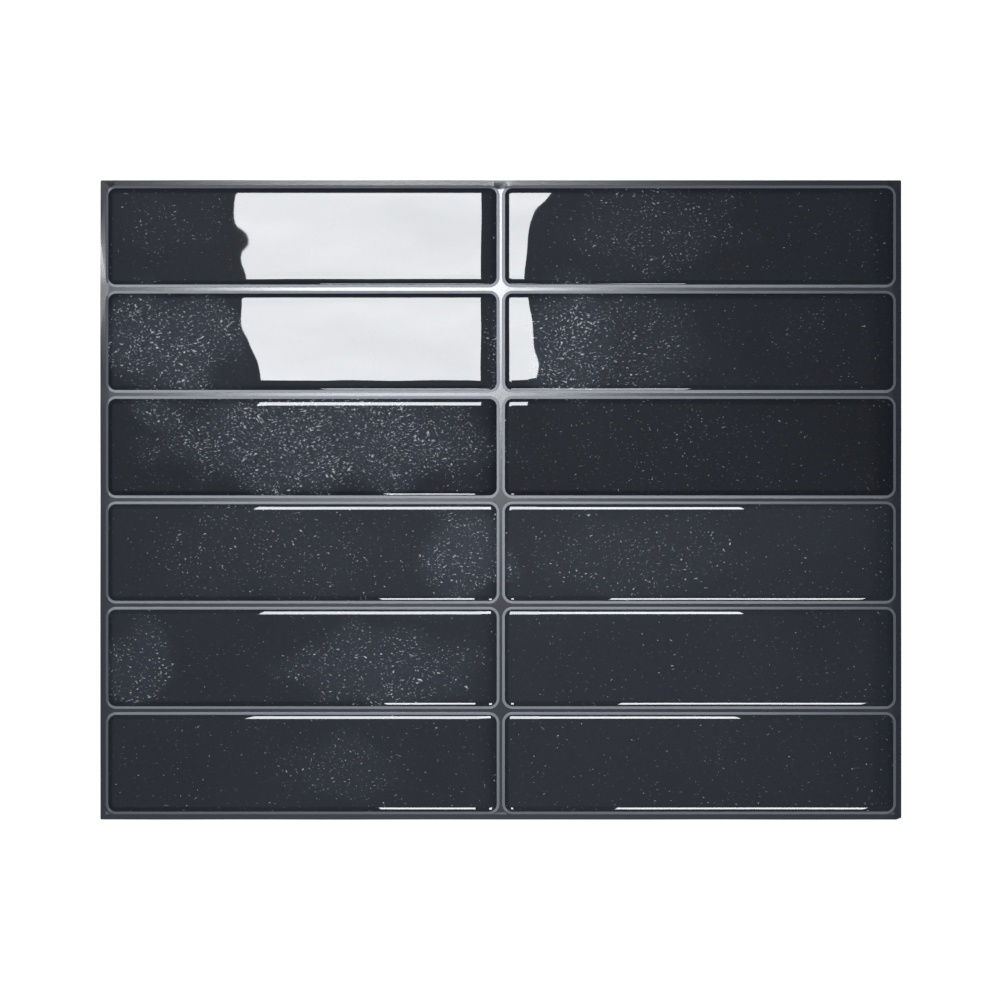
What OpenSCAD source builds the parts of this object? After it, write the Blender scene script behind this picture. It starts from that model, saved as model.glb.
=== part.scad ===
// Peel and stick wall tile sheet, lying face up.
// Domed resin tiles, stacked in straight columns and rows, sit in shallow pockets of an
// embossed self-adhesive film. The rim of each pocket slopes down, away from its tile, to
// the flat joint. A release liner covers the adhesive underneath.
// The origin is the middle of the liner's underside, and X runs along the rows.

/* [Tiles] */
// Length of one tile, along its row
tile_length = 147.8; // [60:0.1:200]
// Height of one tile, across its row
tile_height = 36.7; // [20:0.1:100]
// Thickness of the resin at the crown of a tile
tile_thickness = 1.55; // [1.2:0.05:4]
// Radius of a tile's corners, seen from the front
tile_corner = 2.9; // [2:0.1:8]
// Width of the rounded shoulder that runs down to a tile's edge
shoulder_width = 2.5; // [1:0.1:5]
// How far the shoulder falls from the crown, if it ran on to the side
shoulder_drop = 0.5; // [0.1:0.05:0.7]
// Radius of the edge where the shoulder turns down into the side
edge_radius = 0.35; // [0.1:0.05:0.5]

/* [Layout] */
// Tiles beside each other in a row
columns = 2; // [1:1:4]
// Rows of tiles
rows = 6; // [1:1:10]
// Joint between two tiles in a row
column_joint = 3.1; // [2.6:0.1:8]
// Joint between two rows
row_joint = 3.4; // [2.6:0.1:8]
// Film left between the outer tiles and the sheet's edge
border = 3.2; // [1.6:0.1:10]

/* [Film] */
// Thickness of the film with its adhesive coat, at the joints
film_thickness = 0.5; // [0.2:0.05:1.5]
// Radius of the film's and the liner's cut corners
sheet_corner = 0.5; // [0.2:0.1:2]
// Width of the raised rim round a pocket, from the pocket's wall to the joint
rim_width = 1.05; // [0.5:0.05:1.2]
// Width of the flat crest along the rim's inner edge
rim_crest = 0.15; // [0.05:0.05:0.4]
// Height of the rim above the joint
rim_height = 0.35; // [0.1:0.05:0.5]
// Gap between a tile's side and the wall of its pocket
pocket_clearance = 0.05; // [0.02:0.01:0.2]

/* [Liner] */
// Thickness of the release liner
liner_thickness = 0.15; // [0.08:0.01:0.4]

/* [Hidden] */
$fn = 48;
// Straight steps that draw the shoulder and the edge of a tile's section
shoulder_steps = 4;
edge_steps = 3;

column_pitch = tile_length + column_joint;
row_pitch = tile_height + row_joint;
sheet_length = columns * column_pitch - column_joint + 2 * border;
sheet_height = rows * row_pitch - row_joint + 2 * border;
film_top = liner_thickness + film_thickness;

function tile_name(row, column) = str("tile_row", row, "_column", column);
// Rows count from the top of the wall, columns from the left
function column_x(column) = (column - (columns + 1) / 2) * column_pitch;
function row_y(row) = ((rows + 1) / 2 - row) * row_pitch;

function arc_points(centre, radius, from, to, steps) = [
    for (i = [0:steps])
        let (turn = from + (to - from) * i / steps)
        centre + radius * [cos(turn), sin(turn)]
];

// Carries a section round a rectangle with rounded corners. The section's x is measured
// outwards from the middle of the corners' curve, and its y is the height.
module carry_round(length, height, corner) {
    for (side = [0:3]) {
        outward = (side % 2 == 0 ? length : height) / 2 - corner;
        along = (side % 2 == 0 ? height : length) / 2 - corner;
        rotate(90 * side) translate([outward, along, 0]) {
            rotate([90, 0, 0]) linear_extrude(2 * along) children();
            rotate_extrude(angle = 90) children();
        }
    }
}

// A slab whose rim follows the section, flat inside the corners' curves
module rimmed_slab(length, height, corner, thickness) {
    translate([corner - length / 2, corner - height / 2, 0])
        cube([length - 2 * corner, height - 2 * corner, thickness]);
    carry_round(length, height, corner) children();
}

module cut_sheet(thickness) {
    rimmed_slab(sheet_length, sheet_height, sheet_corner, thickness)
        square([sheet_corner, thickness]);
}

// Half section of a tile at its side: a shallow shoulder arc from the crown, then the
// tighter edge arc, which meets the shoulder and the upright side without a corner
module tile_section() {
    shoulder = min(shoulder_width, tile_corner);
    shoulder_radius = (pow(shoulder, 2) + pow(shoulder_drop, 2)) / (2 * shoulder_drop);
    shoulder_centre = [tile_corner - shoulder, tile_thickness - shoulder_radius];
    reach = shoulder_radius - edge_radius;
    lean = asin((shoulder - edge_radius) / reach);
    edge_centre = shoulder_centre + reach * [sin(lean), cos(lean)];
    crown_edge = shoulder < tile_corner ? [[0, tile_thickness]] : [];
    polygon(concat(
        [[0, 0], [tile_corner, 0]],
        arc_points(edge_centre, edge_radius, 0, 90 - lean, edge_steps),
        [for (i = [1:shoulder_steps])
            arc_points(shoulder_centre, shoulder_radius, 90 - lean, 90, shoulder_steps)[i]],
        crown_edge
    ));
}

module tile(row, column) {
    color("#2b2e37")
        translate([column_x(column), row_y(row), film_top])
        rimmed_slab(tile_length, tile_height, tile_corner, tile_thickness)
        tile_section();
}

// A low crest at the pocket's wall, then the slope down to the joint
module rim_section(pocket_corner) {
    translate([pocket_corner, 0])
        polygon([[0, 0], [rim_width, 0], [rim_crest, rim_height], [0, rim_height]]);
}

module pocket_rim() {
    pocket_corner = tile_corner + pocket_clearance;
    carry_round(
        tile_length + 2 * pocket_clearance,
        tile_height + 2 * pocket_clearance,
        pocket_corner
    ) rim_section(pocket_corner);
}

module backing_film() {
    color("#5d6068") {
        translate([0, 0, liner_thickness]) cut_sheet(film_thickness);
        for (row = [1:rows], column = [1:columns])
            translate([column_x(column), row_y(row), film_top]) pocket_rim();
    }
}

module release_liner() {
    color("#ece9df") cut_sheet(liner_thickness);
}

release_liner();
backing_film();
for (row = [1:rows], column = [1:columns])
    tile(row, column);
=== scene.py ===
"""Peel and stick tile sheet: poured resin tiles on an embossed self-adhesive film with a paper liner."""

import math

import bmesh
import bpy
from mathutils import Matrix, Vector, noise


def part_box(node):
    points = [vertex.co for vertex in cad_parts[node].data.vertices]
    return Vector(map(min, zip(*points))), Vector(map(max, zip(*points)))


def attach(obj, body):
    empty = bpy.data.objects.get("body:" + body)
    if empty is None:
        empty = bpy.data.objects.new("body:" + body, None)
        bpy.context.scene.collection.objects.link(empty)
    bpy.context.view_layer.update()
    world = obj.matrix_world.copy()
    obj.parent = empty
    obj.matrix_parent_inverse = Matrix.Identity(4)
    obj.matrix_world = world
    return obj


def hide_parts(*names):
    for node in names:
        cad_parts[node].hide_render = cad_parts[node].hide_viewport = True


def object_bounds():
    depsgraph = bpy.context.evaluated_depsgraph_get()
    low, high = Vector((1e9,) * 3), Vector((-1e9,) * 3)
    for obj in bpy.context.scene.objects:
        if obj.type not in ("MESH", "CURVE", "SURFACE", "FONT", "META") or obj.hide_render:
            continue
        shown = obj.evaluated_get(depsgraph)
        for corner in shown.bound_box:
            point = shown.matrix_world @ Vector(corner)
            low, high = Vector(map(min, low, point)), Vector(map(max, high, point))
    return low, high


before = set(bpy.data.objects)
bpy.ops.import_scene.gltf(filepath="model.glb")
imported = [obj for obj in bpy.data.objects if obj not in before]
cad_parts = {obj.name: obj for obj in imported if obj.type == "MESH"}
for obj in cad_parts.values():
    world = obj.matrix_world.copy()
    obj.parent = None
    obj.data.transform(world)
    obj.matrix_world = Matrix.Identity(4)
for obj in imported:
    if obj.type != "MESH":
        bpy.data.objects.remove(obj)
CAD_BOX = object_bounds()

bl_info = {
    "name": "Peel and stick tile sheet",
    "version": (1, 0, 0),
    "blender": (4, 5, 0),
    "location": "View3D > Sidebar > Tile sheet",
    "description": "Builds a self-adhesive sheet of domed resin tiles and its studio",
    "category": "Object",
}

MM = 0.001
LINER = "release_liner"
FILM = "backing_film"
TILES = sorted(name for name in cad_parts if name.startswith("tile_row"))
FILM_PIECE = "embossed_film"
PHOTO_WIDTH_PX = 1001
# How far the sheet's middle lies from the middle of the photograph, to the right and up
OFF_MIDDLE_PX = (0.3, 0.7)


def box_size(node):
    """Corners of a node's box, as vectors, and the size between them."""
    low, high = (Vector(corner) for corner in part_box(node))
    return low, high, high - low


FILM_LOW, FILM_HIGH, FILM_SIZE = box_size(FILM)
TILE_LOW, TILE_HIGH, _ = box_size(TILES[0])
# The tiles stand on the face of the film, and the rims rise from there to the film's box top
FILM_FACE = TILE_LOW.z
RIM_HEIGHT = FILM_HIGH.z - FILM_FACE
# Steps of a tile's and a pocket's corner, and of the film's cut corners
CORNER_SEGMENTS = 10
CUT_CORNER_SEGMENTS = 4
# Cuts along each long side of the film, so that it can wander
CUTS_PER_SIDE = 60
# From this share of its half size outwards, a point of the film counts as its cut edge
EDGE_SHARE = 0.995
# Distance in metres under which a cut goes through a point that is there
WELD_DISTANCE = 1e-7
# Edges that turn by more than this stay sharp
TILE_CREASE_DEGREES = 40
FILM_CREASE_DEGREES = 12
# How far the waves' noise is moved on from tile to tile, in wave lengths
WAVE_SEED_STEP = 3.7
# The rim's print fades in between these heights over the joint
RIM_PRINT_MM = (0.005, 0.04)
# Bands in from the sheet's edge, where the painted shade on the outer rims and the flat border begin and
# end
OUTER_RIM_SHADE_MM = (3.5, 3.1)
FLAT_BORDER_MM = (2.2, 2.1)
# Painted shade: the rims' colour darkens to the right along X and downwards along Y, where less light
# falls
SHADE_TO_RIGHT_MM = (20, 150)
SHADE_BELOW_MM = (10, -115)
FLOOR_GAP_MM = 0.02
# Corner that was trimmed off by hand: along the lower edge, and up the right-hand edge
NICK_MM = (2.1, 0.8)
# Patches of painted glints, pale specks painted under the resin where its fine ripples would
# catch the lamps: middle x and y, half length, half height, and how thickly they lie there.
# Millimetres from the middle of the sheet.
GLINT_PATCHES_MM = (
    (-66, 22, 78, 24, 0.9),
    (-132, 34, 14, 8, 0.7),
    (-124, 60, 34, 24, 0.75),
    (-4, 62, 8, 26, 0.75),
    (-124, 104, 26, 16, 0.3),
    (24, 60, 26, 26, 0.75),
    (50, 58, 34, 24, 0.45),
    (58, 103, 42, 19, 0.42),
    (112, 62, 18, 16, 0.2),
    (52, 20, 74, 24, 0.22),
    (-84, -20, 60, 22, 0.3),
    (-14, -20, 22, 24, 0.6),
    (52, -20, 46, 20, 0.32),
    (-140, -62, 18, 18, 0.45),
    (-44, -64, 46, 18, 0.48),
    (-60, -102, 32, 16, 0.33),
)
# How far the outlines of those patches wander, and over what distance
PATCH_WANDER_MM = (9, 16)
# Least share of painted glints anywhere on the resin
FEWEST_GLINTS = 0.1
# Where the resin is left free of painted glints: middle x and y, half length and half height
CLEAR_PATCHES_MM = (
    (-50, 81, 46, 42),
    (5, 81, 6, 42),
)
# Shallow hollows in the resin: middle x and y, half length, half height and depth, all in
# millimetres. They bend the edges of the mirrored softbox.
HOLLOWS_MM = (
    (26, 84, 15, 24, 0.19),
    (13, 122, 10, 10, 0.08),
    (24, 28, 14, 14, 0.20),
    (-95, 103, 14, 18, 0.112),
    (-107, 44, 14, 14, 0.14),
    (-106, -24, 14, 26, 0.14),
)
# How far the outlines of those hollows wander, and over what distance
HOLLOW_WANDER_MM = (0.6, 7)
# Where in the noise the wandering along X and along Y is read
WANDER_SEEDS = (Vector((11.3, 4.7, 0.0)), Vector((3.1, 17.9, 0.0)))
# Where the left-hand cut edge curls up: middle and half length along Y
CURL_MM = (86, 24)
# Lamps over the sheet: name, spans along X and along Y in millimetres, radiance, rows of tiles
# that the lamp is limited to, where it is, and whether the film is lit as well
LAMPS = (
    ("overhead_softbox", (-131, 20), (59, 238), 20.6, (), True),
    ("overhead_softbox_wide", (20, 124), (75, 215), 24, (4, 5, 6), False),
    ("near_strip_left", (-63, -5), (-430, -310), 24, (3, 4, 5, 6), True),
    ("near_strip_right", (62, 194), (-430, -310), 24, (4, 5, 6), True),
    ("near_strip_upper", (-98, 102), (-430, -310), 24, (1, 2), False),
)


def length_prop(name, description, millimetres):
    """A length that is shown in the sidebar in the scene's units."""
    return bpy.props.FloatProperty(
        name=name, description=description, default=millimetres * MM,
        min=0.0, unit="LENGTH", precision=5,
    )


def hex_prop(name, description, value):
    """A colour written as an sRGB hex value, such as 2b2e37."""
    return bpy.props.StringProperty(name=name, description=description, default=value)


def factor_prop(name, description, value):
    """A share or a strength from 0 to 1."""
    return bpy.props.FloatProperty(
        name=name, description=description, default=value, min=0.0, max=1.0,
    )


class TileSettings(bpy.types.PropertyGroup):
    """Sizes and colours of the poured resin tiles."""

    corner: length_prop("Corner radius", "Radius of a tile's corners from above", 2.9)
    shoulder_width: length_prop("Shoulder width", "Width of the rounded shoulder", 2.5)
    shoulder_drop: length_prop("Shoulder drop", "Fall of the shoulder to the side", 0.49)
    edge_radius: length_prop("Edge radius", "Radius where the shoulder turns down", 0.3)
    grid: length_prop("Mesh spacing", "Spacing of the cuts across a tile", 1.9)
    wave_height: length_prop("Wave height", "Height of the slow waves in the resin", 0.1)
    wave_length: length_prop("Wave length", "Distance from crest to crest of the waves", 30)
    ripple_height: length_prop("Ripple height", "Height of the short waves in the resin", 0.02)
    ripple_length: length_prop("Ripple length", "Distance between the short waves", 9)
    left_roll: length_prop("Left end roll", "Fall of the resin at a tile's left end", 0.06)
    right_roll: length_prop("Right end roll", "Fall of the resin at a tile's right end", 0.38)
    end_reach: length_prop("End roll reach", "How far in from an end that fall starts", 9)
    # Painted glints: the spacing of the pale specks that stand in for light caught by the resin
    glint_spacing: length_prop("Fleck spacing", "Distance between the pale flecks", 0.66)
    swirl_length: length_prop("Swirl length", "Distance between two swirls of the pour", 9)
    swirl_reach: length_prop("Swirl reach", "How far the pour dragged the flecks round", 7)
    colour: hex_prop("Resin", "Colour of the print under the resin", "12151c")
    # Painted sheen and painted glints: the paler print where the glints lie thick, and the specks'
    # colour
    tint: hex_prop("Resin tint", "Colour of the print where the flecks lie thick", "383d46")
    glint_colour: hex_prop("Flecks", "Colour of the pale flecks in the print", "eef1f6")
    dark_colour: hex_prop("Dark grains", "Colour of the print between the flecks", "0c0e12")
    print_roughness: factor_prop("Print roughness", "Roughness of the dark print", 0.55)
    coat_roughness: factor_prop("Coat roughness", "Roughness of the clear resin", 0.012)


class FilmSettings(bpy.types.PropertyGroup):
    """Sizes and colours of the embossed film."""

    rim_width: length_prop("Rim width", "Width of the rim round a pocket", 1.05)
    rim_crest: length_prop("Rim crest", "Width of the flat crest at the pocket", 0.15)
    wall_lean: length_prop("Wall lean", "How far the pocket's wall leans inwards", 0.02)
    clearance: length_prop("Pocket clearance", "Gap from a tile to its pocket's wall", 0.05)
    corner: length_prop("Corner radius", "Radius of the film's cut corners", 0.5)
    wander: length_prop("Edge wander", "How far the cut edge wanders inwards", 0.2)
    wander_length: length_prop("Wander length", "Distance over which the edge wanders", 45)
    droop: length_prop("Edge droop", "How far the cutting die presses the edge down", 0.2)
    left_droop: length_prop("Left droop", "The same at the left-hand edge", 0.12)
    curl: length_prop("Edge curl", "How far the left-hand edge curls up again", 0.21)
    lower_curl: length_prop("Lower curl", "How far the lower edge curls up", 0.1)
    joint_colour: hex_prop("Joint", "Colour of the flat joints", "24272e")
    rim_colour: hex_prop("Rim", "Colour of the raised rims", "a4a7af")
    # Painted shade: the rims' colour where less light falls, along the border, to the right and below
    shaded_rim_colour: hex_prop("Outer rim", "Colour of the rims along the border", "5b5e66")
    joint_roughness: factor_prop("Joint roughness", "Roughness of the satin joints", 0.235)
    rim_roughness: factor_prop("Rim roughness", "Roughness of the matt rims", 0.6)


class LinerSettings(bpy.types.PropertyGroup):
    """Size and colours of the release liner."""

    inset: length_prop("Inset", "How far the liner stays back from the film's edge", 0.1)
    colour: hex_prop("Paper", "Colour of the siliconed paper", "ece9df")
    fibre_colour: hex_prop("Fibres", "Colour of the paler fibres in it", "f6f4ec")


class StageSettings(bpy.types.PropertyGroup):
    """Floor, camera and lamps."""

    camera_height: length_prop("Camera height", "Height of the camera over the face", 1500)
    view_width: length_prop("View width", "Width of the view at the sheet's face", 380.6)
    lamp_height: length_prop("Lamp height", "Height of the lamps over the face", 520)
    floor_size: length_prop("Floor size", "Side of the square floor", 6000)
    room: factor_prop("Room light", "Strength of the light from all round", 0.1)
    walls: factor_prop("Wall light", "Strength of the light from the pale walls", 0.45)
    ceiling: factor_prop("Ceiling light", "Strength of the light from overhead", 0.36)
    floor_lift: factor_prop("Floor lift", "How much the floor shines for the camera", 0.75)


def linear(hex_value):
    """An sRGB hex value as a linear colour with alpha."""
    channels = []
    for start in (0, 2, 4):
        value = int(hex_value[start:start + 2], 16) / 255
        channels.append(value / 12.92 if value <= 0.04045 else ((value + 0.055) / 1.055) ** 2.4)
    return (*channels, 1.0)


def add_node(tree, kind, links=None, **settings):
    """Adds a shader node of a kind, which is its type without the leading ShaderNode.

    links maps an input's name or number to a value, to an output socket, or to a node whose
    first output is meant.
    """
    node = tree.nodes.new("ShaderNode" + kind)
    for name, value in settings.items():
        setattr(node, name, value)
    for name, value in (links or {}).items():
        if isinstance(value, bpy.types.Node):
            value = value.outputs[0]
        if isinstance(value, bpy.types.NodeSocket):
            tree.links.new(value, node.inputs[name])
        else:
            node.inputs[name].default_value = value
    return node


def new_material(name):
    """An empty node material with its Principled shader joined to the output."""
    material = bpy.data.materials.new(name)
    material.use_nodes = True
    tree = material.node_tree
    tree.nodes.clear()
    shader = add_node(tree, "BsdfPrincipled")
    add_node(tree, "OutputMaterial", {"Surface": shader})
    return material, tree, shader


def painted_glint_pattern(tree, point, amount, settings):
    """Shares of painted glint and of dark grain, and the grain itself.

    The painted glints are pale dots and strokes that the pour dragged round in swirls; they
    stand in for light caught by the resin's fine ripples.
    """
    flow = add_node(
        tree, "TexNoise", {"Vector": point, "Scale": 1 / settings.swirl_length, "Detail": 1.0},
    )
    swirl = add_node(
        tree, "VectorMath", {0: flow.outputs["Color"], 1: (0.5, 0.5, 0.5)}, operation="SUBTRACT",
    )
    drag = add_node(tree, "VectorMath", {0: swirl, "Scale": settings.swirl_reach}, operation="SCALE")
    moved = add_node(tree, "VectorMath", {0: point, 1: drag}, operation="ADD")
    # Along X a dot is drawn out to a short stroke
    drawn_out = add_node(tree, "VectorMath", {0: moved, 1: (0.6, 1.0, 1.0)}, operation="MULTIPLY")
    grain = add_node(
        tree, "TexNoise",
        {"Vector": drawn_out, "Scale": 1 / settings.glint_spacing, "Detail": 2.0},
    )
    # Where the flow runs fast the painted glints are gathered, and where it is slow they are fewer
    fast = add_node(tree, "MapRange", {0: flow, 1: 0.4, 2: 0.6, 3: 0.6, 4: 1.0})
    gathered = add_node(tree, "Math", {0: amount, 1: fast}, operation="MULTIPLY")
    # The more painted glints lie there, the fainter is the grain that still shows as one
    rooted = add_node(tree, "Math", {0: gathered, 1: 0.5}, operation="POWER")
    faintest = add_node(tree, "MapRange", {0: rooted, 1: 0.0, 2: 1.0, 3: 0.75, 4: 0.535})
    over = add_node(tree, "Math", {0: grain, 1: faintest}, operation="SUBTRACT")
    strength = add_node(tree, "MapRange", {0: over, 1: 0.0, 2: 0.2})
    present = add_node(tree, "MapRange", {0: amount, 1: 0.0, 2: 0.08})
    glint = add_node(tree, "Math", {0: strength, 1: present}, operation="MULTIPLY")
    crisp = add_node(tree, "Math", {0: glint, 1: 1.3}, operation="POWER")
    low_grain = add_node(tree, "MapRange", {0: grain, 1: 0.47, 2: 0.3})
    dark = add_node(tree, "Math", {0: low_grain, 1: gathered}, operation="MULTIPLY")
    return crisp, dark, grain


def poured_resin(settings):
    """Clear polyurethane doming resin, poured over a dark print, with pale glints painted in.

    It gives a deep, nearly black gloss with mirror-sharp reflections, over a matt print where
    patches of fine painted glints, pale dots and strokes, glimmer on a painted paler sheen.
    """
    material, tree, shader = new_material("poured_resin")
    point = add_node(tree, "TexCoord").outputs["Object"]
    amount = add_node(tree, "Attribute", attribute_name="glints").outputs["Fac"]
    glint, dark, grain = painted_glint_pattern(tree, point, amount, settings)
    # The clouds in the print lie about 70 mm apart
    cloud = add_node(tree, "TexNoise", {"Vector": point, "Scale": 14.0, "Detail": 2.0})
    mottled = add_node(tree, "Math", {0: cloud, 1: grain}, operation="ADD")
    clouds = add_node(tree, "MapRange", {0: mottled, 1: 0.7, 2: 1.3, 3: 0.0, 4: 0.16})
    # Painted sheen: the print is paler where the painted glints lie thick
    thick = add_node(tree, "Math", {0: amount, 1: 1.6}, operation="POWER")
    paler = add_node(tree, "Math", {0: clouds, 1: thick}, operation="ADD")
    ground = add_node(
        tree, "Mix", {0: paler, 6: linear(settings.colour), 7: linear(settings.tint)},
        data_type="RGBA",
    ).outputs[2]
    grained = add_node(
        tree, "Mix", {0: dark, 6: ground, 7: linear(settings.dark_colour)}, data_type="RGBA",
    ).outputs[2]
    # Painted glints: the pale specks are mixed into the colour
    glinted = add_node(
        tree, "Mix", {0: glint, 6: grained, 7: linear(settings.glint_colour)}, data_type="RGBA",
    ).outputs[2]
    tree.links.new(glinted, shader.inputs["Base Color"])
    shader.inputs["Roughness"].default_value = settings.print_roughness
    # The print lies in the resin, so it hardly shines by itself
    shader.inputs["Specular IOR Level"].default_value = 0.1
    shader.inputs["Coat Weight"].default_value = 1.0
    shader.inputs["Coat Roughness"].default_value = settings.coat_roughness
    shader.inputs["Coat IOR"].default_value = 1.5
    return material


def rim_and_painted_shade(tree, place):
    """Shares of raised rim and of painted shade on the rims, at a place on the film."""
    rim = add_node(
        tree, "MapRange",
        {0: place["Z"], 1: FILM_FACE + RIM_PRINT_MM[0] * MM, 2: FILM_FACE + RIM_PRINT_MM[1] * MM},
    )
    to_right = add_node(
        tree, "MapRange",
        {0: place["X"], 1: SHADE_TO_RIGHT_MM[0] * MM, 2: SHADE_TO_RIGHT_MM[1] * MM, 3: 0.0, 4: 0.95},
    )
    to_bottom = add_node(
        tree, "MapRange",
        {0: place["Y"], 1: SHADE_BELOW_MM[0] * MM, 2: SHADE_BELOW_MM[1] * MM, 3: 0.0, 4: 0.75},
    )
    painted_shade = add_node(tree, "Math", {0: to_right, 1: to_bottom}, operation="MAXIMUM")
    for axis, reach in (("X", FILM_SIZE.x / 2), ("Y", FILM_SIZE.y / 2)):
        away = add_node(tree, "Math", {0: place[axis]}, operation="ABSOLUTE")
        # The rims that face the sheet's edge, which get painted shade
        near_edge = add_node(
            tree, "MapRange",
            {0: away, 1: reach - OUTER_RIM_SHADE_MM[0] * MM, 2: reach - OUTER_RIM_SHADE_MM[1] * MM},
        )
        painted_shade = add_node(tree, "Math", {0: painted_shade, 1: near_edge}, operation="MAXIMUM")
        # The flat border stays printed as a joint, also where its cut edge curls up
        inside = add_node(
            tree, "MapRange",
            {
                0: away, 1: reach - FLAT_BORDER_MM[0] * MM, 2: reach - FLAT_BORDER_MM[1] * MM,
                3: 1.0, 4: 0.0,
            },
        )
        rim = add_node(tree, "Math", {0: rim, 1: inside}, operation="MULTIPLY")
    return rim, painted_shade


def embossed_vinyl(settings):
    """Vinyl film, embossed under heat: satin in the joints and matt on the stretched rims.

    It gives soft, blurred highlights along the dark joints between paler, dull rims.
    """
    material, tree, shader = new_material("embossed_vinyl")
    point = add_node(tree, "TexCoord").outputs["Object"]
    rim, painted_shade = rim_and_painted_shade(tree, add_node(tree, "SeparateXYZ", {"Vector": point}).outputs)
    # Painted shade: the rims turn to the darker colour to the right, below and along the border
    rims = add_node(
        tree, "Mix",
        {0: painted_shade, 6: linear(settings.rim_colour), 7: linear(settings.shaded_rim_colour)},
        data_type="RGBA",
    ).outputs[2]
    # The grain of the embossing roll is about 0.4 mm wide
    grain = add_node(tree, "TexNoise", {"Vector": point, "Scale": 2500.0, "Detail": 2.0})
    worn = add_node(tree, "MapRange", {0: grain, 1: 0.0, 2: 0.5, 3: 0.7, 4: 1.0})
    stretched = add_node(tree, "Math", {0: rim, 1: worn}, operation="MULTIPLY")
    colour = add_node(
        tree, "Mix", {0: stretched, 6: linear(settings.joint_colour), 7: rims}, data_type="RGBA",
    ).outputs[2]
    tree.links.new(colour, shader.inputs["Base Color"])
    dull = add_node(
        tree, "MapRange",
        {0: rim, 1: 0.0, 2: 1.0, 3: settings.joint_roughness, 4: settings.rim_roughness},
    )
    tree.links.new(dull.outputs[0], shader.inputs["Roughness"])
    shader.inputs["IOR"].default_value = 1.55
    shader.inputs["Specular IOR Level"].default_value = 1.0
    bump = add_node(tree, "Bump", {"Height": grain, "Strength": 0.2, "Distance": 0.01 * MM})
    tree.links.new(bump.outputs[0], shader.inputs["Normal"])
    return material


def siliconed_paper(settings):
    """Glassine paper with a silicone coat, as release liners are.

    It gives a pale, faintly fibrous white with a dull sheen.
    """
    material, tree, shader = new_material("siliconed_paper")
    point = add_node(tree, "TexCoord").outputs["Object"]
    # The clumps of fibre lie about 1.1 mm apart
    fibre = add_node(tree, "TexNoise", {"Vector": point, "Scale": 900.0, "Detail": 4.0})
    paper = add_node(
        tree, "Mix", {0: fibre, 6: linear(settings.colour), 7: linear(settings.fibre_colour)},
        data_type="RGBA",
    ).outputs[2]
    tree.links.new(paper, shader.inputs["Base Color"])
    shader.inputs["Roughness"].default_value = 0.45
    return material


def to_object(mesh_source, name, material):
    """Turns a bmesh into an object at the origin and links it to the scene."""
    mesh = bpy.data.meshes.new(name)
    mesh_source.to_mesh(mesh)
    mesh_source.free()
    mesh.materials.append(material)
    piece = bpy.data.objects.new(name, mesh)
    bpy.context.scene.collection.objects.link(piece)
    return piece


def rounded_face(shape, centre, length, height, corner, segments):
    """Adds one flat face, a rectangle with rounded corners, and returns it."""
    place = Matrix.Translation(centre) @ Matrix.Diagonal((length, height, 1.0, 1.0))
    made = bmesh.ops.create_grid(shape, x_segments=1, y_segments=1, size=0.5, matrix=place)
    corners = made["verts"]
    before = set(shape.faces) - set(corners[0].link_faces)
    bmesh.ops.bevel(
        shape, geom=corners, offset=corner, offset_type="OFFSET", segments=segments,
        profile=0.5, affect="VERTICES", material=-1, clamp_overlap=False,
    )
    return next(face for face in shape.faces if face not in before)


def smooth_with_creases(shape, crease_angle):
    """Smooth shading, broken along edges that turn by more than the angle."""
    for face in shape.faces:
        face.smooth = True
    for edge in shape.edges:
        edge.smooth = edge.calc_face_angle(0.0) < crease_angle


def shoulder_profile(settings, side_height, edge_steps=6, shoulder_steps=8):
    """Inset and height of each step of a tile's shoulder, from its side to its crown."""
    width, drop, edge = settings.shoulder_width, settings.shoulder_drop, settings.edge_radius
    radius = (width ** 2 + drop ** 2) / (2 * drop)
    lean = math.asin((width - edge) / (radius - edge))
    edge_height = side_height - radius + (radius - edge) * math.cos(lean)
    points = []
    for step in range(edge_steps + 1):
        turn = (math.pi / 2 - lean) * step / edge_steps
        points.append((edge - edge * math.cos(turn), edge_height + edge * math.sin(turn)))
    for step in range(1, shoulder_steps + 1):
        turn = lean * (1 - step / shoulder_steps)
        points.append((
            width - radius * math.sin(turn),
            side_height - radius + radius * math.cos(turn),
        ))
    return points


def cut_across(shape, faces_below, low, high, spacing):
    """Cuts everything above the underside into a grid, so that it can wave."""
    for axis, normal in enumerate((Vector((1, 0, 0)), Vector((0, 1, 0)))):
        cuts = max(2, round((high[axis] - low[axis]) / spacing))
        for step in range(1, cuts):
            at = low.lerp(high, step / cuts)
            keep = [face for face in shape.faces if face not in faces_below]
            geometry = dict.fromkeys(
                part for face in keep for part in (face, *face.edges, *face.verts)
            )
            bmesh.ops.bisect_plane(
                shape, geom=list(geometry), dist=WELD_DISTANCE, plane_co=at, plane_no=normal,
            )


def wandered(point, wander_mm):
    """The point, moved by slow noise, so that an outline that is tested at it wanders."""
    reach, distance = (length * MM for length in wander_mm)
    along, up = (noise.noise(point / distance + seed) for seed in WANDER_SEEDS)
    return point + reach * Vector((along, up, 0.0))


def share_from_middle(point, middle_x, middle_y, half_length, half_height):
    """How far a point lies from a patch's middle, as shares of its half length and height."""
    return (point.x / MM - middle_x) / half_length, (point.y / MM - middle_y) / half_height


def glint_share_at(point):
    """How thickly the painted glints lie at a point of the sheet, from 0 to 1."""
    thickest = FEWEST_GLINTS
    moved = wandered(point, PATCH_WANDER_MM)
    for *patch, amount in GLINT_PATCHES_MM:
        across, up = share_from_middle(moved, *patch)
        thickest = max(thickest, amount * (1 - (across ** 2 + up ** 2) ** 2))
    for patch in CLEAR_PATCHES_MM:
        across, up = share_from_middle(point, *patch)
        thickest *= min(1.0, 0.5 * (across ** 16 + up ** 16))
    return thickest


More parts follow.
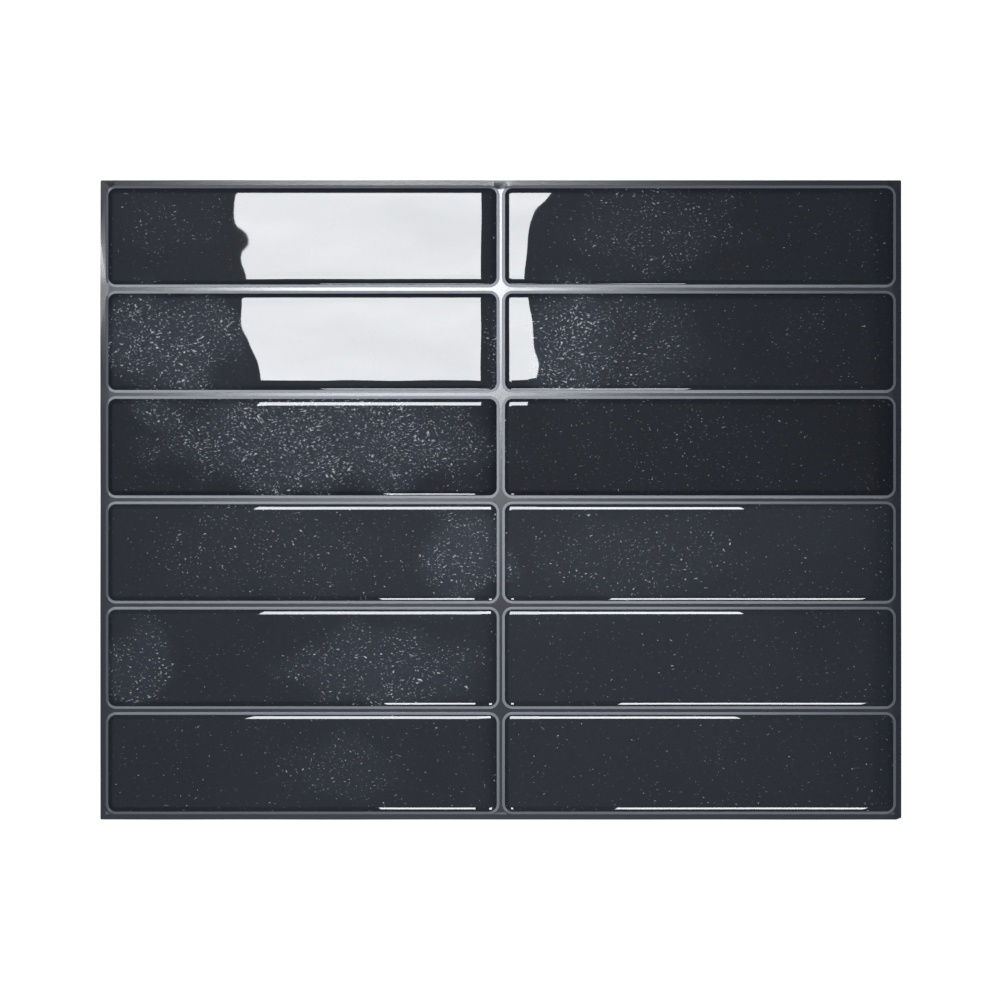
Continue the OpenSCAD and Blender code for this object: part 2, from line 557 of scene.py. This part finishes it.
def resin_fall(point, low, high, seed, settings):
    """How far the cured resin lies below a flat crown: waves, hollows and rolled-off ends."""
    wave = 0.5 + 0.5 * noise.noise(point / settings.wave_length + seed)
    ripple = 0.5 + 0.5 * noise.noise(point / settings.ripple_length + seed)
    left = max(0.0, 1 - (point.x - low.x) / settings.end_reach) ** 2
    right = max(0.0, 1 - (high.x - point.x) / settings.end_reach) ** 2
    fall = settings.wave_height * wave + settings.ripple_height * ripple
    fall += settings.left_roll * left + settings.right_roll * right
    moved = wandered(point, HOLLOW_WANDER_MM)
    for *patch, depth in HOLLOWS_MM:
        across, up = share_from_middle(moved, *patch)
        fall += depth * MM * math.exp(-across ** 2 - abs(up) ** 3)
    return fall


def resin_tile(name, material, settings):
    """One domed tile, from its underside up over the shoulder to a faintly waving crown."""
    low, high, size = box_size(name)
    centre = Vector(((low.x + high.x) / 2, (low.y + high.y) / 2, low.z))
    shape = bmesh.new()
    crown = rounded_face(shape, centre, size.x, size.y, settings.corner, CORNER_SEGMENTS)
    profile = shoulder_profile(settings, size.z)
    lifted = bmesh.ops.extrude_face_region(shape, geom=[crown])["geom"]
    bmesh.ops.translate(
        shape, vec=(0, 0, profile[0][1]),
        verts=[part for part in lifted if isinstance(part, bmesh.types.BMVert)],
    )
    top = next(part for part in lifted if isinstance(part, bmesh.types.BMFace))
    if top.normal.z < 0:
        top.normal_flip()
    inset_steps(shape, [top], profile)
    bmesh.ops.recalc_face_normals(shape, faces=shape.faces)
    underside = {face for face in shape.faces if face.normal.z < -0.9}
    cut_across(shape, underside, low, high, settings.grid)
    seed = Vector((TILES.index(name) * WAVE_SEED_STEP, 0, 0))
    for vert in shape.verts:
        share = (vert.co.z - low.z) / size.z
        vert.co.z -= share * resin_fall(vert.co, low, high, seed, settings)
    smooth_with_creases(shape, math.radians(TILE_CREASE_DEGREES))
    piece = to_object(shape, "resin_" + name, material)
    # How thickly the painted glints lie, which the resin's colour reads
    glints = piece.data.attributes.new("glints", "FLOAT", "POINT")
    for vert, mark in zip(piece.data.vertices, glints.data):
        mark.value = glint_share_at(vert.co)
    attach(piece, "root")
    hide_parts(name)
    return piece


def rim_profile(settings, steps=8):
    """Inset and height of each step over a rim: its slope, its crest and the pocket's wall.

    The slope is a straight one, softened by a quarter at its foot and at its head.
    """
    slope = settings.rim_width - settings.rim_crest
    softened = 0.25
    points = []
    for step in range(steps + 1):
        part = step / steps
        eased = (1 - softened) * part + softened * part ** 2 * (3 - 2 * part)
        points.append((slope * part, RIM_HEIGHT * eased))
    points.append((settings.rim_width, RIM_HEIGHT))
    points.append((settings.rim_width + settings.wall_lean, 0.0))
    return points


def inset_steps(shape, faces, profile):
    """Insets faces from each step of a profile to the next, and lifts them with it."""
    for (inset_from, height_from), (inset_to, height_to) in zip(profile, profile[1:]):
        bmesh.ops.inset_individual(
            shape, faces=faces, thickness=inset_to - inset_from, depth=height_to - height_from,
        )


def trim_corner(shape, low, high):
    """Cuts the lower right corner off a flat face, as it was trimmed on the real sheet."""
    along, up = (length * MM for length in NICK_MM)
    bmesh.ops.bisect_plane(
        shape, geom=[*shape.verts, *shape.edges, *shape.faces], dist=WELD_DISTANCE,
        plane_co=(high.x, low.y + up, low.z), plane_no=(up, -along, 0), clear_outer=True,
    )
    return next(iter(shape.faces))


def shape_edge(verts, centre, settings):
    """Lets a cut edge wander inwards, and presses it down as the cutting die does."""
    middle, reach = (length * MM for length in CURL_MM)
    for vert in verts:
        amount = 0.5 + 0.5 * noise.noise(vert.co / settings.wander_length)
        fall = 0.0
        for axis in (0, 1):
            outwards = vert.co[axis] - centre[axis]
            if abs(outwards) > (FILM_SIZE[axis] / 2) * EDGE_SHARE:
                vert.co[axis] -= math.copysign(settings.wander * amount, outwards)
                if outwards > 0:
                    fall = settings.droop
                elif axis == 1:
                    fall = -settings.lower_curl
                else:
                    curled = math.exp(-((vert.co.y - middle) / reach) ** 2)
                    fall = settings.left_droop - settings.curl * curled
        vert.co.z -= fall


def backing_film(material, settings):
    """The film with its joints and rims as one skin, closed by its side and its underside."""
    shape = bmesh.new()
    centre = Vector(((FILM_LOW.x + FILM_HIGH.x) / 2, (FILM_LOW.y + FILM_HIGH.y) / 2, FILM_FACE))
    rounded_face(
        shape, centre, FILM_SIZE.x, FILM_SIZE.y, settings.corner, CUT_CORNER_SEGMENTS,
    )
    sheet = trim_corner(shape, FILM_LOW, FILM_HIGH)
    sides = [edge for edge in sheet.edges if edge.calc_length() > 0.5 * FILM_SIZE.y]
    bmesh.ops.subdivide_edges(shape, edges=sides, cuts=CUTS_PER_SIDE)
    outline = list(shape.edges)
    shape_edge(list(shape.verts), centre, settings)
    bmesh.ops.delete(shape, geom=list(shape.faces), context="FACES_ONLY")
    out = settings.clearance + settings.rim_width
    corner = bpy.context.scene.tile_sheet_tile.corner + out
    pockets = []
    for name in TILES:
        low, high, size = box_size(name)
        middle = Vector(((low.x + high.x) / 2, (low.y + high.y) / 2, FILM_FACE))
        length, height = size.x + 2 * out, size.y + 2 * out
        pockets.append(rounded_face(shape, middle, length, height, corner, CORNER_SEGMENTS))
    feet = [edge for pocket in pockets for edge in pocket.edges]
    bmesh.ops.triangle_fill(
        shape, edges=outline + feet, use_beauty=True, use_dissolve=False, normal=(0, 0, 1),
    )
    for pocket in pockets:
        if pocket.normal.z < 0:
            pocket.normal_flip()
    inset_steps(shape, pockets, rim_profile(settings))
    border = [edge for edge in shape.edges if edge.is_boundary]
    skirt = bmesh.ops.extrude_edge_only(shape, edges=border)["geom"]
    for part in skirt:
        if isinstance(part, bmesh.types.BMVert):
            part.co.z = FILM_LOW.z
    bmesh.ops.holes_fill(shape, edges=[edge for edge in shape.edges if edge.is_boundary])
    bmesh.ops.recalc_face_normals(shape, faces=shape.faces)
    smooth_with_creases(shape, math.radians(FILM_CREASE_DEGREES))
    piece = to_object(shape, FILM_PIECE, material)
    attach(piece, "root")
    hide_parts(FILM)
    return piece


def liner_sheet(material, settings):
    """The paper liner, a hair smaller than the film and with the same cut corners."""
    low, high, size = box_size(LINER)
    shape = bmesh.new()
    centre = Vector(((low.x + high.x) / 2, (low.y + high.y) / 2, low.z))
    length, height = size.x - 2 * settings.inset, size.y - 2 * settings.inset
    corner = bpy.context.scene.tile_sheet_film.corner
    rounded_face(shape, centre, length, height, corner, CUT_CORNER_SEGMENTS)
    sheet = trim_corner(shape, low, high)
    raised = bmesh.ops.extrude_face_region(shape, geom=[sheet])["geom"]
    bmesh.ops.translate(
        shape, vec=(0, 0, size.z),
        verts=[part for part in raised if isinstance(part, bmesh.types.BMVert)],
    )
    bmesh.ops.recalc_face_normals(shape, faces=shape.faces)
    piece = to_object(shape, "paper_liner", material)
    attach(piece, "root")
    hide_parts(LINER)
    return piece


def studio_floor(settings):
    """White floor that keeps the sheet's shadow and stays white in the picture."""
    material, tree, shader = new_material("matt_white_floor")
    shader.inputs["Base Color"].default_value = linear("f4f4f4")
    shader.inputs["Roughness"].default_value = 1.0
    shader.inputs["Specular IOR Level"].default_value = 0.0
    # It shines only for camera, mirrored and transmitted rays, so it lights no matt surface
    rays = add_node(tree, "LightPath").outputs
    mirrored = add_node(
        tree, "Math", {0: rays["Is Camera Ray"], 1: rays["Is Glossy Ray"]}, operation="MAXIMUM",
    )
    seen = add_node(
        tree, "Math", {0: mirrored, 1: rays["Is Transmission Ray"]}, operation="MAXIMUM",
    )
    strength = add_node(tree, "Math", {0: seen, 1: settings.floor_lift}, operation="MULTIPLY")
    lift = add_node(tree, "Emission", {"Strength": strength})
    both = add_node(tree, "AddShader", {0: shader, 1: lift})
    output = next(node for node in tree.nodes if node.type == "OUTPUT_MATERIAL")
    tree.links.new(both.outputs[0], output.inputs["Surface"])
    shape = bmesh.new()
    bmesh.ops.create_grid(
        shape, x_segments=2, y_segments=2, size=settings.floor_size / 2,
        matrix=Matrix.Translation((0, 0, CAD_BOX[0].z - FLOOR_GAP_MM * MM)),
    )
    to_object(shape, "studio_floor", material)


def lamp(name, x_span, y_span, radiance, settings):
    """A rectangular lamp over the sheet that spans the given millimetres and shines straight down.

    Its diffuser is a little uneven, in soft streaks.
    """
    width, depth = ((span[1] - span[0]) * MM for span in (x_span, y_span))
    data = bpy.data.lights.new(name, "AREA")
    data.shape = "RECTANGLE"
    data.size, data.size_y = width, depth
    data.energy = radiance * math.pi * width * depth
    data.color = linear("f6f8fb")[:3]
    data.use_nodes = True
    tree = data.node_tree
    place = add_node(tree, "NewGeometry").outputs["Position"]
    # The streaks are about 110 mm long and 25 mm wide
    drawn_out = add_node(tree, "VectorMath", {0: place, 1: (9.0, 40.0, 0.0)}, operation="MULTIPLY")
    streaks = add_node(tree, "TexNoise", {"Vector": drawn_out, "Scale": 1.0})
    evenness = add_node(tree, "MapRange", {0: streaks, 1: 0.3, 2: 0.7, 3: 0.92, 4: 1.06})
    glow = next(node for node in tree.nodes if node.type == "EMISSION")
    tree.links.new(evenness.outputs[0], glow.inputs["Strength"])
    holder = bpy.data.objects.new(name, data)
    holder.location = (
        sum(x_span) / 2 * MM, sum(y_span) / 2 * MM, TILE_HIGH.z + settings.lamp_height,
    )
    bpy.context.scene.collection.objects.link(holder)
    return holder


def row_of(tile):
    """The row in a tile's name, counted from the top."""
    return int(tile.removeprefix("tile_row").split("_")[0])


def shine_only_on(holder, rows, with_film):
    """Limits a lamp to some rows of tiles, as a flag beside it does in the studio."""
    names = ["resin_" + tile for tile in TILES if row_of(tile) in rows]
    if with_film:
        names.append(FILM_PIECE)
    receivers = bpy.data.collections.new(holder.name + "_receivers")
    for name in names:
        if name in bpy.data.objects:
            receivers.objects.link(bpy.data.objects[name])
    holder.light_linking.receiver_collection = receivers


def room_light(settings):
    """Light from the room: a dim ceiling, paler to the left of the camera, and pale walls.

    The camera sees plain white behind the floor.
    """
    world = bpy.data.worlds.new("room")
    bpy.context.scene.world = world
    world.use_nodes = True
    tree = world.node_tree
    tree.nodes.clear()
    direction = add_node(tree, "TexCoord").outputs["Generated"]
    palest = Vector((-0.16, -0.04, 1.0)).normalized()
    # Cosine of the angle to the palest part, which fades out at about 19 degrees
    towards = add_node(tree, "VectorMath", {0: direction, 1: palest}, operation="DOT_PRODUCT")
    ceiling = add_node(
        tree, "MapRange",
        {0: towards.outputs["Value"], 1: 0.945, 2: 0.99, 3: settings.room, 4: settings.ceiling},
        interpolation_type="SMOOTHSTEP",
    )
    # The walls end where a direction points about 40 degrees upwards
    height = add_node(tree, "SeparateXYZ", {"Vector": direction}).outputs["Z"]
    walls = add_node(
        tree, "MapRange", {0: height, 1: 0.2, 2: 0.65, 3: settings.walls, 4: 0.0},
        interpolation_type="SMOOTHSTEP",
    )
    both = add_node(tree, "Math", {0: ceiling, 1: walls}, operation="ADD")
    seen = add_node(tree, "LightPath").outputs["Is Camera Ray"]
    strength = add_node(tree, "MapRange", {0: seen, 1: 0.0, 2: 1.0, 3: both, 4: 1.0})
    colour = add_node(
        tree, "Mix", {0: seen, 6: linear("d8e1f2"), 7: linear("ffffff")}, data_type="RGBA",
    ).outputs[2]
    back = add_node(tree, "Background", {"Color": colour, "Strength": strength})
    add_node(tree, "OutputWorld", {"Surface": back})


def straight_down_camera(settings):
    """Camera over the sheet that takes the photograph's width at the tiles' faces."""
    data = bpy.data.cameras.new("camera")
    data.sensor_width = 36.0
    data.lens = data.sensor_width * settings.camera_height / settings.view_width
    data.clip_end = 20.0
    camera = bpy.data.objects.new("camera", data)
    pixel = settings.view_width / PHOTO_WIDTH_PX
    off_x, off_y = (pixels * pixel for pixels in OFF_MIDDLE_PX)
    camera.location = (-off_x, -off_y, TILE_HIGH.z + settings.camera_height)
    bpy.context.scene.collection.objects.link(camera)
    bpy.context.scene.camera = camera


class TILESHEET_OT_liner(bpy.types.Operator):
    """Makes the paper release liner"""

    bl_idname = "tilesheet.liner"
    bl_label = "Release liner"

    def execute(self, context):
        settings = context.scene.tile_sheet_liner
        liner_sheet(siliconed_paper(settings), settings)
        return {"FINISHED"}


class TILESHEET_OT_film(bpy.types.Operator):
    """Makes the embossed film with its joints and rims"""

    bl_idname = "tilesheet.film"
    bl_label = "Embossed film"

    def execute(self, context):
        settings = context.scene.tile_sheet_film
        backing_film(embossed_vinyl(settings), settings)
        return {"FINISHED"}


class TILESHEET_OT_tiles(bpy.types.Operator):
    """Makes every domed resin tile"""

    bl_idname = "tilesheet.tiles"
    bl_label = "Resin tiles"

    def execute(self, context):
        settings = context.scene.tile_sheet_tile
        material = poured_resin(settings)
        for name in TILES:
            resin_tile(name, material, settings)
        return {"FINISHED"}


class TILESHEET_OT_stage(bpy.types.Operator):
    """Makes the floor, the lamps, the room light and the camera"""

    bl_idname = "tilesheet.stage"
    bl_label = "Studio"

    def execute(self, context):
        settings = context.scene.tile_sheet_stage
        studio_floor(settings)
        room_light(settings)
        for name, x_span, y_span, radiance, rows, with_film in LAMPS:
            holder = lamp(name, x_span, y_span, radiance, settings)
            if rows:
                shine_only_on(holder, rows, with_film)
        straight_down_camera(settings)
        context.scene.view_settings.view_transform = "Standard"
        return {"FINISHED"}


class TILESHEET_PT_panel(bpy.types.Panel):
    """Lists the pieces and the studio in the sidebar"""

    bl_idname = "TILESHEET_PT_panel"
    bl_label = "Tile sheet"
    bl_space_type = "VIEW_3D"
    bl_region_type = "UI"
    bl_category = "Tile sheet"

    def draw(self, context):
        for group, operator in GROUPS.items():
            settings = getattr(context.scene, group)
            part = self.layout.box()
            for name in settings.bl_rna.properties.keys():
                if name not in ("rna_type", "name"):
                    part.prop(settings, name)
            part.operator(operator)


GROUPS = {
    "tile_sheet_liner": "tilesheet.liner",
    "tile_sheet_film": "tilesheet.film",
    "tile_sheet_tile": "tilesheet.tiles",
    "tile_sheet_stage": "tilesheet.stage",
}
SETTINGS = {
    "tile_sheet_liner": LinerSettings,
    "tile_sheet_film": FilmSettings,
    "tile_sheet_tile": TileSettings,
    "tile_sheet_stage": StageSettings,
}
CLASSES = (
    *SETTINGS.values(),
    TILESHEET_OT_liner,
    TILESHEET_OT_film,
    TILESHEET_OT_tiles,
    TILESHEET_OT_stage,
    TILESHEET_PT_panel,
)


def register():
    for cls in CLASSES:
        bpy.utils.register_class(cls)
    for group, cls in SETTINGS.items():
        setattr(bpy.types.Scene, group, bpy.props.PointerProperty(type=cls))


def unregister():
    for group in SETTINGS:
        delattr(bpy.types.Scene, group)
    for cls in reversed(CLASSES):
        bpy.utils.unregister_class(cls)


def main():
    register()
    bpy.ops.tilesheet.liner()
    bpy.ops.tilesheet.film()
    bpy.ops.tilesheet.tiles()
    bpy.ops.tilesheet.stage()


if __name__ == "__main__":
    main()
